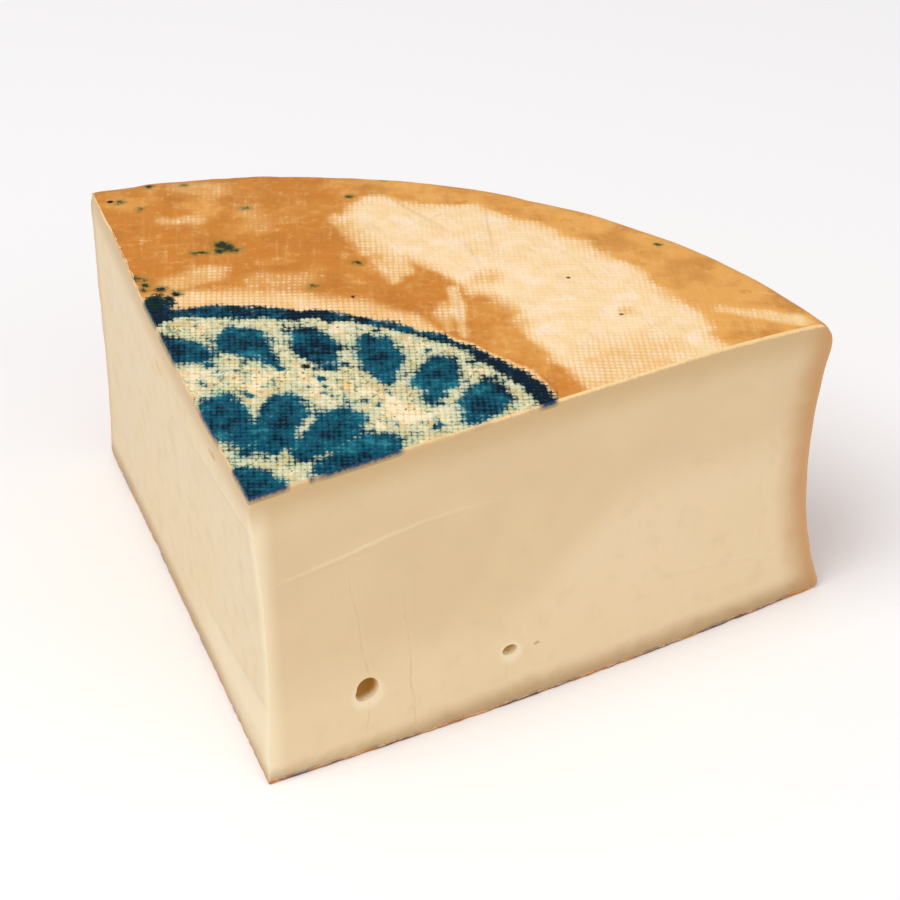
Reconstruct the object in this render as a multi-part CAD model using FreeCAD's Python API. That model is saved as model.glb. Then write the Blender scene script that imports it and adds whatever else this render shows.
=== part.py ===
"""Wedge of a washed-rind fontina wheel, a little under a quarter of it, in millimetres, +Z up.

The wheel is turned about its axis, leans a little on its soft foot and is then cut twice by a
hand-held knife that drifts as it goes down.  A few eyes open in the two cut faces.
+Y runs along the bisector from the point of the wedge to its heel, +X across it, and the
origin is the middle of the bounding box at the height of the base.
"""
import FreeCAD, Part
import math
import os

from FreeCAD import Matrix, Rotation, Vector

# Whole wheel
WHEEL_RADIUS = 187.0      # top rim before it is rounded
WHEEL_HEIGHT = 92.3       # top face on the axis
SHOULDER_WIDTH = 52.0     # outer ring of the top face, where it falls off to the rim
SHOULDER_DROP = 0.6       # the nearly flat middle falls by this much out to the shoulder
RIM_DROP = 4.0            # the rim lies this far below the middle of the top face
RIM_ROUND = 6.5           # rounding of the top rim
WAIST_HEIGHT = 31.0       # narrowest ring of the heel
WAIST_DEPTH = 11.7        # the waist is drawn in this far from the rim
FOOT_DEPTH = 4.9          # the foot stands out this far from the waist
FOOT_ROUND = 3.4          # rounding of the foot
FOOT_BED = 1.5            # the soft foot has bedded down and gone flat by this much
LEAN_X = 4.0              # slump of the foot along the front cut
LEAN_Y = -4.9             # slump of the foot square to the front cut
TOP_SLOPE = 0.007         # the top rises away from the front cut by this share

# Cut
WEDGE_ANGLE = 79.0        # between the two cut faces
POINT_PAST_AXIS_X = 5.8   # the point of the wedge lies this far past the wheel's axis
POINT_PAST_AXIS_Y = -1.2
FRONT_BELLY = 2.8         # front cut stands out at the base, in the middle of its length
LEFT_BOW = 2.0            # left cut stands out at the top, in the middle of its length
LEFT_SPREAD = 0.9         # left cut stands out along the base, in the middle of its length
LEFT_FLARE = 3.0          # left cut stands out at the foot of the heel
POINT_HOLLOW = 1.9        # left cut is drawn in along the upright edge at the point

# Ridges left where the knife was drawn back: rise and half width of each swell
RIDGE_RISE = 0.6
RIDGE_HALF_WIDTH = 3.2
FRONT_RIDGE = (6.0, 82.0, 63.0, 67.0)        # from, to along the cut, height at each end
LEFT_UPPER_RIDGE = (2.0, 80.0, 79.5, 75.5)
LEFT_LOWER_RIDGE = (2.0, 84.0, 23.0, 19.0)

# Grid on which a cut face is drawn
CUT_MARGIN = 24.0         # the knife passes the cheese by this much at every side
CUT_REACH = 330.0         # depth of the block behind a cut face
COLUMNS = 25
ROWS = 37

# Eyes: along the cut, height, length, width, depth below the face, tilt in degrees
FRONT_EYES = (
    (30.5, 21.1, 6.6, 6.8, 5.4, 0.0),
    (29.3, 19.8, 4.9, 4.8, 4.2, 0.0),
    (74.0, 18.1, 4.6, 3.2, 3.0, 4.0),
    (82.4, 17.4, 2.0, 0.9, 0.8, 5.0),
)
LEFT_EYES = (
    (94.3, 77.7, 9.4, 2.2, 1.6, 14.0),
    (35.0, 84.0, 6.8, 1.8, 1.3, -6.0),
)


def rim_height():
    """Height of the top rim before it is rounded."""
    return WHEEL_HEIGHT - RIM_DROP


def heel(height):
    """Point of the heel outline, on one of the two hollow arcs that meet upright at the waist."""
    rise = height - WAIST_HEIGHT
    span, depth = WAIST_HEIGHT, FOOT_DEPTH
    if rise > 0:
        span, depth = rim_height() - WAIST_HEIGHT, WAIST_DEPTH
    arc = (span ** 2 + depth ** 2) / (2 * depth)
    return Vector(WHEEL_RADIUS - WAIST_DEPTH + arc - math.sqrt(arc ** 2 - rise ** 2), 0, height)


def crown(share):
    """Point of the top outline, a share of the way from the axis out to the shoulder."""
    return Vector((WHEEL_RADIUS - SHOULDER_WIDTH) * share, 0, WHEEL_HEIGHT - SHOULDER_DROP * share ** 2)


def shoulder(share):
    """Point of the top outline, a share of the way from the shoulder out to the rim."""
    start = crown(1)
    drift = 2 * SHOULDER_DROP * SHOULDER_WIDTH / start.x
    fall = drift * share + (RIM_DROP - SHOULDER_DROP - drift) * share ** 2
    return Vector(start.x + SHOULDER_WIDTH * share, 0, start.z - fall)


def wheel():
    """Whole wheel, turned about Z with its seam behind the wedge, its rim and foot rounded."""
    foot, waist, rim = heel(-FOOT_BED), heel(WAIST_HEIGHT), heel(rim_height())
    middle = Vector(0, 0, foot.z)
    outline = Part.Wire([
        Part.LineSegment(middle, foot).toShape(),
        Part.Arc(foot, heel(WAIST_HEIGHT / 2), waist).toShape(),
        Part.Arc(waist, heel((WAIST_HEIGHT + rim_height()) / 2), rim).toShape(),
        Part.Arc(rim, shoulder(0.5), shoulder(0)).toShape(),
        Part.Arc(shoulder(0), crown(0.5), crown(0)).toShape(),
        Part.LineSegment(crown(0), middle).toShape(),
    ])
    body = Part.Face(outline).revolve(middle, Vector(0, 0, 1), 360)
    body = body.makeFillet(RIM_ROUND, ring_edges(body, rim))
    body = body.makeFillet(FOOT_ROUND, ring_edges(body, foot))
    body.rotate(middle, Vector(0, 0, 1), WEDGE_ANGLE / 2 + 180)
    return body


def ring_edges(body, corner):
    """Round edges of the body that pass through a corner of its outline."""
    rings = []
    for edge in body.Edges:
        if edge.Degenerated or not isinstance(edge.Curve, Part.Circle):
            continue
        if abs(edge.Curve.Radius - corner.x) < 0.01 and abs(edge.Curve.Center.z - corner.z) < 0.01:
            rings.append(edge)
    return rings


def leaned(body):
    """The body with its foot slumped sideways and its top a little out of level."""
    slump = Matrix()
    slump.A13 = -LEAN_X / WHEEL_HEIGHT
    slump.A14 = LEAN_X
    slump.A23 = -LEAN_Y / WHEEL_HEIGHT
    slump.A24 = LEAN_Y
    slump.A32 = TOP_SLOPE
    return body.transformGeometry(slump)


def ridge(along, height, place):
    """Swell of a knife ridge at a spot of a cut face, fading out at both ends."""
    start, end, start_height, end_height = place
    share = (along - start) / (end - start)
    if share <= 0 or share >= 1:
        return 0.0
    off = height - (start_height + (end_height - start_height) * share)
    return RIDGE_RISE * math.sin(math.pi * share) * math.exp(-(off / RIDGE_HALF_WIDTH) ** 2)


def upright(height):
    """Share of the full height, 0 at the base and 1 at the rim, held between those."""
    return min(1.0, max(0.0, height / rim_height()))


def lengthwise(along):
    """Share of the length of a cut, 0 at the point and 1 at the heel, held between those."""
    return min(1.0, max(0.0, along / WHEEL_RADIUS))


def front_drift(along, height):
    """How far the front cut stands out from its plane."""
    length = lengthwise(along)
    belly = FRONT_BELLY * math.sin(math.pi * length) * (1 - upright(height))
    return belly + ridge(along, height, FRONT_RIDGE)


def left_drift(along, height):
    """How far the left cut stands out from its plane."""
    length = lengthwise(along)
    bow = LEFT_BOW * math.sin(math.pi * length) * upright(height) ** 2
    spread = LEFT_SPREAD * math.sin(math.pi * length) * (1 - upright(height))
    flare = LEFT_FLARE * length ** 3 * (1 - upright(height) ** 1.5)
    hollow = POINT_HOLLOW * math.sin(math.pi * upright(height)) * (1 - length) ** 3
    swell = ridge(along, height, LEFT_UPPER_RIDGE) + ridge(along, height, LEFT_LOWER_RIDGE)
    return bow + spread + flare - hollow + swell


def cut_block(direction, outward, drift):
    """Block behind a cut face, the face drawn through a grid of drifted points."""
    length = WHEEL_RADIUS + 2 * CUT_MARGIN
    height = WHEEL_HEIGHT + 2 * CUT_MARGIN
    grid = []
    for column in range(COLUMNS):
        along = length * column / (COLUMNS - 1) - CUT_MARGIN
        line = []
        for row in range(ROWS):
            up = height * row / (ROWS - 1) - CUT_MARGIN
            line.append(direction * along + outward * drift(along, up) + Vector(0, 0, up))
        grid.append(line)
    face = Part.BSplineSurface()
    face.interpolate(grid)
    return face.toShape().extrude(outward * -CUT_REACH)


def eye(direction, outward, drift, place):
    """Flattened ball that opens one eye in a cut face."""
    along, height, length, width, depth, tilt = place
    squash = Matrix()
    squash.A11 = length / 2
    squash.A22 = depth
    squash.A33 = width / 2
    ball = Part.makeSphere(1.0).transformGeometry(squash)
    ball.rotate(Vector(0, 0, 0), Vector(0, 1, 0), -tilt)
    turn = math.degrees(math.atan2(direction.y, direction.x))
    ball.rotate(Vector(0, 0, 0), Vector(0, 0, 1), turn)
    ball.translate(direction * along + outward * drift(along, height) + Vector(0, 0, height))
    return ball


def bed():
    """Block that stands on the board, which flattens the foot."""
    side = 2 * CUT_REACH
    return Part.makeBox(side, side, WHEEL_HEIGHT + CUT_MARGIN, Vector(-side / 2, -side / 2, 0))


def wedge():
    """Wedge with its point on Z and its front cut along +X."""
    front = Vector(1, 0, 0)
    left = Rotation(Vector(0, 0, 1), WEDGE_ANGLE).multVec(front)
    front_out = Vector(0, -1, 0)
    left_out = Rotation(Vector(0, 0, 1), WEDGE_ANGLE + 90).multVec(front)
    body = leaned(wheel())
    body.translate(Vector(-POINT_PAST_AXIS_X, -POINT_PAST_AXIS_Y, 0))
    body = body.common(cut_block(front, front_out, front_drift))
    body = body.common(cut_block(left, left_out, left_drift))
    body = body.common(bed())
    for place in FRONT_EYES:
        body = body.cut(eye(front, front_out, front_drift, place))
    for place in LEFT_EYES:
        body = body.cut(eye(left, left_out, left_drift, place))
    return body.Solids[0]


def placed(body):
    """The body turned with its bisector along +Y and its base centred on the origin."""
    body.rotate(Vector(0, 0, 0), Vector(0, 0, 1), 90 - WEDGE_ANGLE / 2)
    box = body.optimalBoundingBox()
    body.translate(Vector(-box.Center.x, -box.Center.y, -box.ZMin))
    return body


def main():
    os.makedirs("parts", exist_ok=True)
    cheese = placed(wedge())
    cheese.exportStep("parts/cheese_wedge.step")
    box = cheese.optimalBoundingBox()
    print("valid", cheese.isValid(), "litres", round(cheese.Volume / 1e6, 3))
    print("box", round(box.XLength, 1), round(box.YLength, 1), round(box.ZLength, 1))


main()
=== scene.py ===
"""Fontina wedge: washed rind with its cloth print and a round blue-green stamp, and two knife-cut faces.

Sizes are in millimetres in the cut frame: the upright edge at the point is Z and the front cut runs
along +X.  A plain wedge of a drum is modelled first, then drawn out to the true form, and last turned
into the part's frame.
"""
import math
from types import SimpleNamespace

import bmesh
import bpy
import numpy as np
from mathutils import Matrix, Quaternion, Vector, noise


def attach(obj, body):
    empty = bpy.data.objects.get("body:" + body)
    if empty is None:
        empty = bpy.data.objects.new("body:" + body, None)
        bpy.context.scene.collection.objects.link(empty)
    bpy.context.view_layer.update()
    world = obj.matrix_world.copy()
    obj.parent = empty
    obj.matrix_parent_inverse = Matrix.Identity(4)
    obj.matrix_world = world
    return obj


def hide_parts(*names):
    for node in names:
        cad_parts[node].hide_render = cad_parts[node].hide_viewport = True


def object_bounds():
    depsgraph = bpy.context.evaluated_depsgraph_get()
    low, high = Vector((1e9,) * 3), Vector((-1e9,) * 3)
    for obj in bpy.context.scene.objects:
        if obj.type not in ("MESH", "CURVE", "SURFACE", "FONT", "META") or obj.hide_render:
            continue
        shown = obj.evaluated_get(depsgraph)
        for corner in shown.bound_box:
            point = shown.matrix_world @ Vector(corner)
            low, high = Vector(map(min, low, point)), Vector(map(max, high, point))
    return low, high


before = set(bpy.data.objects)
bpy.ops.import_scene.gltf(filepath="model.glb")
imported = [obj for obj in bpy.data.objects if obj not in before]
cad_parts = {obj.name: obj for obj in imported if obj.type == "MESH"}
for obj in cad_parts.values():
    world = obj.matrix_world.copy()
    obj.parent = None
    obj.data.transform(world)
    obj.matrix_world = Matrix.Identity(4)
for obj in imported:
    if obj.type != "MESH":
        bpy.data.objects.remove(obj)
cad_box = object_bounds()

MM = 0.001

# Wheel and cut, as in the part
WHEEL_RADIUS = 187.0
WHEEL_HEIGHT = 92.3
SHOULDER_WIDTH = 52.0
SHOULDER_DROP = 0.6
RIM_DROP = 4.0
RIM_ROUND = 8.9           # from the sharp rim to where its rounding starts
WAIST_HEIGHT = 31.0
WAIST_DEPTH = 11.7
FOOT_DEPTH = 4.9
FOOT_ROUND = 3.4
LEAN = (4.0, -4.9)
TOP_SLOPE = 0.007
WEDGE_ANGLE = math.radians(79.0)
WHEEL_AXIS = (-5.8, 1.2)
FRONT_BELLY = 2.8
LEFT_BOW = 2.0
LEFT_SPREAD = 0.9
LEFT_FLARE = 3.0
POINT_HOLLOW = 1.9
RIDGE_RISE = 0.6
RIDGE_HALF_WIDTH = 3.2
FRONT_RIDGES = ((6.0, 82.0, 63.0, 67.0),)
LEFT_RIDGES = ((2.0, 80.0, 79.5, 75.5), (2.0, 84.0, 23.0, 19.0))
FRONT_EYES = (
    # along the cut, height, length, width, depth, tilt in degrees
    (30.5, 21.1, 6.6, 6.8, 5.4, 0.0), (29.3, 19.8, 4.9, 4.8, 4.2, 0.0), (74.0, 18.1, 4.6, 3.2, 3.0, 4.0),
    (82.4, 17.4, 2.0, 0.9, 0.8, 5.0),
)
LEFT_EYES = ((94.3, 77.7, 9.4, 2.2, 1.6, 14.0), (35.0, 84.0, 6.8, 1.8, 1.3, -6.0))
DRIFT_REACH = 20.0        # the drift of a cut face dies away this far behind it
DRAWN_FROM = 0.45         # share of the radius beyond which the blank is drawn out to the heel's form
FAR_OUT = -50.0           # distance inside a mark, for what lies nowhere near it

# From the cut frame to the part's frame
TURN = math.radians(50.5)
SHIFT = (1.6915, -90.2874)

# Blank and its slicing
BLANK_SIDES = 720
RIM_STEPS = 6
FOOT_STEPS = 3
LIP_STEPS = 2
SHARP = math.radians(50)  # corners sharper than this are softened
SHADED = math.radians(40)  # faces meet smoothly where they turn by less than this
RIM_INSIDE = WHEEL_RADIUS - RIM_ROUND
OFF_CENTRE = 0.06         # eye balls stand this far out, so that none of their edges lies in the cut
LIP = 0.45                # knife-cut corners are this soft
SLACK = 0.05              # allowance when faces are told apart by where they lie
FRONT_PARTS = (50.0, 79.3)
LEFT_PARTS = (60.0,)
CUT_SLICE = 1.5
HEEL_SLICE = 1.6
BASE_SLICE = 5.0

TOP_ENDS = (0.8, 3.0)     # depths between which the top rind gives way to the sides

# Cloth print: where it dies away toward the rim, which way its threads lie and how far apart
PRINT_ENDS = (RIM_INSIDE - 14.0, RIM_INSIDE + 2.0)
THREAD_ANGLES = (math.radians(-25.5), math.radians(59.5))
THREAD_PITCHES = (1.517, 1.73)

# Relief, in millimetres of depth
CLOTH_SMEARED = 0.03      # cloth print where the smear fills it
CLOTH_BARE = 0.20         # added where the smear has come off
PRESS_BROAD = 0.5         # hollows of the press in the top, from broad to rough
PRESS_FINE = 0.45
PRESS_ROUGH = 0.16
PIT_DEPTH = 0.9
PIT_LIP = 0.25
DOT_DEPTH = 0.4
GIVEN_BACK = 0.5          # raised where it lies clear of the part's box, to keep its mean level
HEEL_FOLDS = 0.3
HEEL_WRINKLES = 0.16
CUT_SWELLS = 0.14
CRUMBLED = 0.6            # rind edge of the cuts
RAGGED = 0.35             # skin at the foot

# Ways out of the two cuts and along them
UP = Vector((0, 0, 1))
ALONG_FRONT = Vector((1, 0, 0))
FRONT_OUT = Vector((0, -1, 0))
LEFT_OUT = Vector((-math.sin(WEDGE_ANGLE), math.cos(WEDGE_ANGLE), 0))
ALONG_LEFT = Vector((math.cos(WEDGE_ANGLE), math.sin(WEDGE_ANGLE), 0))


# ---------------------------------------------------------------- modelling the blank

def pick(thing, test):
    """Selects the faces that pass a test of their middle (mm) and normal, and hides the rest."""
    bpy.ops.mesh.select_mode(type="FACE")
    bpy.ops.mesh.select_all(action="DESELECT")
    shape = bmesh.from_edit_mesh(thing.data)
    for face in shape.faces:
        if test(face.calc_center_median() / MM, face.normal):
            face.select_set(True)
    bmesh.update_edit_mesh(thing.data)
    bpy.ops.mesh.hide(unselected=True)


def ring_bevel(thing, height, width, steps):
    """Rounds the ring edge of the drum at one height."""
    bpy.ops.mesh.select_mode(type="EDGE")
    bpy.ops.mesh.select_all(action="DESELECT")
    shape = bmesh.from_edit_mesh(thing.data)
    for edge in shape.edges:
        if all(abs(v.co.z / MM - height) < 0.01 for v in edge.verts):
            edge.select_set(True)
    bmesh.update_edit_mesh(thing.data)
    bpy.ops.mesh.bevel(offset=width * MM, segments=steps, affect="EDGES")


def slices(direction, spacing, low, high):
    """Slices what shows with parallel cuts between two distances."""
    for step in range(math.ceil(low / spacing), math.floor(high / spacing) + 1):
        bpy.ops.mesh.select_all(action="SELECT")
        bpy.ops.mesh.bisect(plane_co=direction * (step * spacing * MM), plane_no=direction)


def eye_balls():
    """Flattened balls that open the eyes."""
    balls = []
    for places, way, out in ((FRONT_EYES, ALONG_FRONT, FRONT_OUT), (LEFT_EYES, ALONG_LEFT, LEFT_OUT)):
        for along, height, length, width, depth, tilt in places:
            bpy.ops.object.select_all(action="DESELECT")
            bpy.ops.mesh.primitive_uv_sphere_add(segments=28, ring_count=18, radius=1.0)
            ball = bpy.context.object
            ball.scale = (length / 2 * MM, depth * MM, width / 2 * MM)
            bpy.ops.object.transform_apply(scale=True)
            ball.rotation_euler = (0, -math.radians(tilt), math.atan2(way.y, way.x))
            ball.location = (way * along + UP * height + out * OFF_CENTRE) * MM
            balls.append(ball)
    return balls


def drum_wedge():
    """Wedge of a straight drum with rounded rims and soft corners."""
    bpy.ops.object.select_all(action="DESELECT")
    bpy.ops.mesh.primitive_cylinder_add(vertices=BLANK_SIDES, radius=WHEEL_RADIUS * MM,
                                        depth=WHEEL_HEIGHT * MM, location=UP * (WHEEL_HEIGHT / 2 * MM))
    cheese = bpy.context.object
    cheese.name = "cheese"
    bpy.ops.object.transform_apply(location=True)
    bpy.ops.object.mode_set(mode="EDIT")
    ring_bevel(cheese, WHEEL_HEIGHT, RIM_ROUND, RIM_STEPS)
    ring_bevel(cheese, 0.0, FOOT_ROUND, FOOT_STEPS)
    for out in (FRONT_OUT, LEFT_OUT):
        bpy.ops.mesh.select_all(action="SELECT")
        bpy.ops.mesh.bisect(plane_co=(0, 0, 0), plane_no=out, clear_outer=True, use_fill=True)
    bpy.ops.mesh.select_mode(type="EDGE")
    bpy.ops.mesh.select_all(action="DESELECT")
    bpy.ops.mesh.edges_select_sharp(sharpness=SHARP)
    bpy.ops.mesh.bevel(offset=LIP * MM, segments=LIP_STEPS, affect="EDGES")

    # The cut faces are parted between their eyes, so that each opening falls in a face of its own
    for out, along, stops in ((FRONT_OUT, ALONG_FRONT, FRONT_PARTS), (LEFT_OUT, ALONG_LEFT, LEFT_PARTS)):
        pick(cheese, lambda c, n: n.dot(out) > 0.9)
        for stop in stops:
            bpy.ops.mesh.select_all(action="SELECT")
            bpy.ops.mesh.bisect(plane_co=along * (stop * MM), plane_no=along)
        bpy.ops.mesh.reveal()
    bpy.ops.object.mode_set(mode="OBJECT")
    return cheese


def choose(thing):
    """Makes one object the only one selected, and the active one."""
    bpy.ops.object.select_all(action="DESELECT")
    thing.select_set(True)
    bpy.context.view_layer.objects.active = thing


def open_eyes(cheese):
    """Cuts the eyes out of the blank with their balls."""
    balls = eye_balls()
    choose(cheese)
    for ball in balls:
        opening = cheese.modifiers.new("eye", "BOOLEAN")
        opening.operation = "DIFFERENCE"
        opening.object = ball
        opening.solver = "EXACT"
        bpy.ops.object.modifier_apply(modifier="eye")
        bpy.data.objects.remove(ball)


def slice_up(cheese):
    """Slices half a thread apart on the top, and evenly on the cuts, the heel and the base."""
    bpy.ops.object.mode_set(mode="EDIT")
    coarse = 1.0
    inner = RIM_INSIDE + 0.1
    pick(cheese, lambda c, n: n.z > 0.3 and c.z > WHEEL_HEIGHT - LIP - SLACK and c.to_2d().length < inner)
    for angle, pitch in zip(THREAD_ANGLES, THREAD_PITCHES):
        across = Vector((math.cos(angle), math.sin(angle), 0))
        slices(across, pitch / 2 * coarse, -WHEEL_RADIUS / 2, WHEEL_RADIUS)
    bpy.ops.mesh.reveal()
    for out, along in ((FRONT_OUT, ALONG_FRONT), (LEFT_OUT, ALONG_LEFT)):
        pick(cheese, lambda c, n: n.dot(out) > 0.3 and c.dot(out) > -LIP - SLACK)
        slices(along, CUT_SLICE * coarse, 0, WHEEL_RADIUS)
        slices(UP, CUT_SLICE * coarse, 0, WHEEL_HEIGHT)
        bpy.ops.mesh.reveal()
    pick(cheese, lambda c, n: c.to_2d().length > WHEEL_RADIUS - 1.0)
    slices(UP, HEEL_SLICE * coarse, 0, WHEEL_HEIGHT)
    bpy.ops.mesh.reveal()
    pick(cheese, lambda c, n: n.z < -0.5)
    slices(ALONG_FRONT, BASE_SLICE, 0, WHEEL_RADIUS)
    slices(-FRONT_OUT, BASE_SLICE, 0, WHEEL_RADIUS)
    bpy.ops.mesh.reveal()
    bpy.ops.mesh.select_all(action="SELECT")
    bpy.ops.mesh.remove_doubles(threshold=0.01 * MM)
    bpy.ops.mesh.normals_make_consistent(inside=False)
    bpy.ops.object.mode_set(mode="OBJECT")


# ---------------------------------------------------------------- the true form

def eased(value, low, high):
    """0 at the low end to 1 at the high end, smooth at both."""
    share = np.clip((value - low) / (high - low), 0, 1)
    return share * share * (3 - 2 * share)


def heel_radius(height):
    """Radius of the heel at a height: two hollow arcs that meet upright at the waist."""
    rise = height - WAIST_HEIGHT
    span = np.where(rise > 0, WHEEL_HEIGHT - RIM_DROP - WAIST_HEIGHT, WAIST_HEIGHT)
    depth = np.where(rise > 0, WAIST_DEPTH, FOOT_DEPTH)
    arc = (span ** 2 + depth ** 2) / (2 * depth)
    return WHEEL_RADIUS - WAIST_DEPTH + arc - np.sqrt(arc ** 2 - np.minimum(rise ** 2, arc ** 2 / 2))


def top_height(out):
    """Height of the top face at a distance from the wheel's axis."""
    middle = WHEEL_RADIUS - SHOULDER_WIDTH
    share = np.clip((out - middle) / SHOULDER_WIDTH, 0, 1)
    drift = 2 * SHOULDER_DROP * SHOULDER_WIDTH / middle
    fall = drift * share + (RIM_DROP - SHOULDER_DROP - drift) * share ** 2
    return WHEEL_HEIGHT - SHOULDER_DROP * (np.minimum(out, middle) / middle) ** 2 - fall


def ridge(along, height, places):
    """Swell of the knife ridges of one cut face."""
    swell = np.zeros_like(along)
    for start, end, low, high in places:
        share = np.clip((along - start) / (end - start), 0, 1)
        off = (height - low - (high - low) * share) / RIDGE_HALF_WIDTH
        swell += RIDGE_RISE * np.sin(np.pi * share) * np.exp(-off ** 2)
    return swell


def front_drift(along, height):
    """How far the front cut stands out of its plane."""
    length = np.clip(along / WHEEL_RADIUS, 0, 1)
    up = np.clip(height / (WHEEL_HEIGHT - RIM_DROP), 0, 1)
    return FRONT_BELLY * np.sin(np.pi * length) * (1 - up) + ridge(along, height, FRONT_RIDGES)


def left_drift(along, height):
    """How far the left cut stands out of its plane."""
    length = np.clip(along / WHEEL_RADIUS, 0, 1)
    up = np.clip(height / (WHEEL_HEIGHT - RIM_DROP), 0, 1)
    bow = np.sin(np.pi * length) * (LEFT_BOW * up ** 2 + LEFT_SPREAD * (1 - up))
    flare = LEFT_FLARE * length ** 3 * (1 - up ** 1.5)
    hollow = POINT_HOLLOW * np.sin(np.pi * up) * (1 - length) ** 3
    return bow + flare - hollow + ridge(along, height, LEFT_RIDGES)


def fade(distance):
    """1 on a cut face, easing to 0 at DRIFT_REACH behind it."""
    return eased(distance, DRIFT_REACH, 0.0)


def true_form(spots):
    """Moves spots of the blank to where they are on the cheese, all in the cut frame."""
    x, y, z = spots.T.copy()
    start = far = np.hypot(x, y)
    ways = np.stack([x, y], 1) / np.maximum(far, 1e-6)[:, None]
    share = z / WHEEL_HEIGHT
    for _ in range(3):
        plan = ways * far[:, None]
        slope = TOP_SLOPE * (plan[:, 1] - WHEEL_AXIS[1])
        top = top_height(np.hypot(plan[:, 0] - WHEEL_AXIS[0], plan[:, 1] - WHEEL_AXIS[1])) + slope
        height = share * top
        level = height - slope
        axis = np.stack([WHEEL_AXIS[i] + LEAN[i] * (1 - level / WHEEL_HEIGHT) for i in (0, 1)], 1)
        toward = (axis * ways).sum(1)
        reach = toward + np.sqrt(heel_radius(level) ** 2 - (axis ** 2).sum(1) + toward ** 2)
        far = start + (reach - WHEEL_RADIUS) * eased(start, DRAWN_FROM * WHEEL_RADIUS, WHEEL_RADIUS)
    plan = ways * far[:, None]
    out_front, out_left = np.array(FRONT_OUT[:2]), np.array(LEFT_OUT[:2])
    along_left = plan @ np.array(ALONG_LEFT[:2])
    front = front_drift(plan[:, 0], height) * fade(-plan @ out_front)
    left = left_drift(along_left, height) * fade(-plan @ out_left)
    square = float(out_front @ out_left)
    push_front = (front - square * left) / (1 - square ** 2)
    push_left = (left - square * front) / (1 - square ** 2)
    plan = plan + push_front[:, None] * out_front + push_left[:, None] * out_left
    return np.column_stack([plan, height])


# ---------------------------------------------------------------- what lies where on the rind

STAMP_MIDDLE = (0.0, 3.0)
RIM_LINE = 91.0
RIM_LINE_SPREAD = 5.5     # how far the line spread outward at its far end
RIM_LUMP = (20.0, 100.5, 5.0)
WREATH = (
    # how far out, how many, turn of the first, step, half length, half width, lean in degrees
    (74.0, 7, 5.0, 14.6, 11.5, 6.4, 40), (64.5, 7, 14.0, 14.6, 3.0, 1.9, 60),
    (33.5, 5, 1.0, 23.0, 15.5, 7.0, 8),
)
ROSETTE = 12.0
PALE_PATCH = ((86, 122), (97, 127), (105, 126), (113, 115), (127, 107), (130, 97), (138, 84), (143, 70),
              (147, 50), (148, 28), (144, -6), (102, -6), (100, 20), (103, 45), (101, 58), (97, 74),
              (94, 88), (90, 80), (84, 78), (85, 100))
WORN_STREAKS = (
    # from, to, half width, how worn
    (96, 66, 86, 42, 2.6, 0.62), (90, 60, 84, 47, 3.0, 0.4), (154, 18, 170, 4, 3.0, 0.62),
    (30, 110, 42, 109, 5.0, 0.42), (58, 163, 66, 157, 6.0, 0.34), (52, 98, 62, 92, 6.0, 0.3),
    (70, 140, 66, 126, 4.0, 0.26), (45, 146, 52, 142, 4.0, 0.4), (88, 120, 85, 80, 3.2, 0.42),
    (90, 118, 91, 92, 5.0, 0.5), (104, 66, 111, 62, 3.0, 0.1),
)
WOVEN = (
    # middle, half width, half height, how much smear is left in the grooves
    (116, 6, 22, 18, 0.45), (88, 100, 5, 26, 0.42), (107, 67, 6, 5, 0.45), (103, 44, 4, 14, 0.3),
    (131, 31, 3, 3, 0.5), (116, 86, 7, 12, 0.12),
)
CREASES = (
    # from, to, half width, depth
    (86, 122, 79, 77, 0.9, 0.45), (107, 127, 112, 96, 0.8, 0.45), (98, 70, 86, 40, 0.8, 0.4),
    (122, 108, 96, 104, 0.6, 0.2), (128, 104, 117, 79, 0.7, 0.4), (113, 90, 109, 72, 0.6, 0.3),
    (146, 98, 152, 84, 0.6, 0.2), (141, 112, 146, 92, 0.6, 0.2),
)
MOULD = (
    # middle, size
    (51.5, 123, 1.9), (52.5, 120.5, 1.5), (49.5, 120, 1.1), (54, 118, 0.7), (45, 121.5, 0.8),
    (42.5, 122, 0.5), (22, 118, 1.1), (24, 116, 0.7), (23, 113, 0.9), (21.5, 110.5, 0.6), (25.5, 108, 1.4),
    (24, 105.5, 0.8), (28, 103.5, 1.3), (22, 103.5, 2.4), (25.5, 102, 1.8), (19, 101, 1.6), (50, 170, 1.0),
    (38, 165, 0.8), (41, 157, 0.4), (59, 165, 0.5), (63, 87.5, 0.8), (80, 93, 0.8), (68, 141, 0.7),
    (42, 50.5, 1.1), (97, 131, 0.7), (117, 135, 0.5), (112, 137, 0.4), (160, 60, 0.4),
)
DOTS = (
    # specks of dirt: middle, size
    (70, 76.5, 0.55), (127, 55, 0.5), (36, 167, 0.9), (42, 50, 0.9), (151.5, 88, 0.9), (129, 30, 0.5),
    (60, 41, 0.5),
)
PIT = (48.0, 148.0, 2.0)  # middle, size

# Marks of the knife, as distance along the cut and height or strength
FRONT_RIDGE = ((5, 63), (10, 63.5), (22, 65), (31, 66.2), (42, 67.5), (50, 68.2), (60, 68.2), (78, 66.5),
               (105, 36), (119, 26.3), (131, 24), (144, 22.1), (171, 15.8))
RIDGE_MUCH = ((4, 0), (12, 0.6), (30, 1), (55, 0.5), (78, 0), (118, 0), (126, 0.3), (150, 0.25), (172, 0))
LEFT_MUCH = ((0, 0.3), (6, 0.9), (66, 0.8), (76, 0))


def grain(spots, size, seed=0.0):
    """Smooth noise between about -1 and 1 at each spot, of one size in millimetres."""
    return np.array([noise.noise((x / size + seed, y / size - seed, z / size + 0.37 * seed))
                     for x, y, z in spots.tolist()])


def off_line(plan, x0, y0, x1, y1):
    """Distance from a line between two points, and the share of the way along it."""
    start, way = np.array((x0, y0), float), np.array((x1 - x0, y1 - y0), float)
    share = np.clip((plan - start) @ way / (way @ way), 0, 1)
    return np.hypot(*(plan - start - share[:, None] * way).T), share


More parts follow.
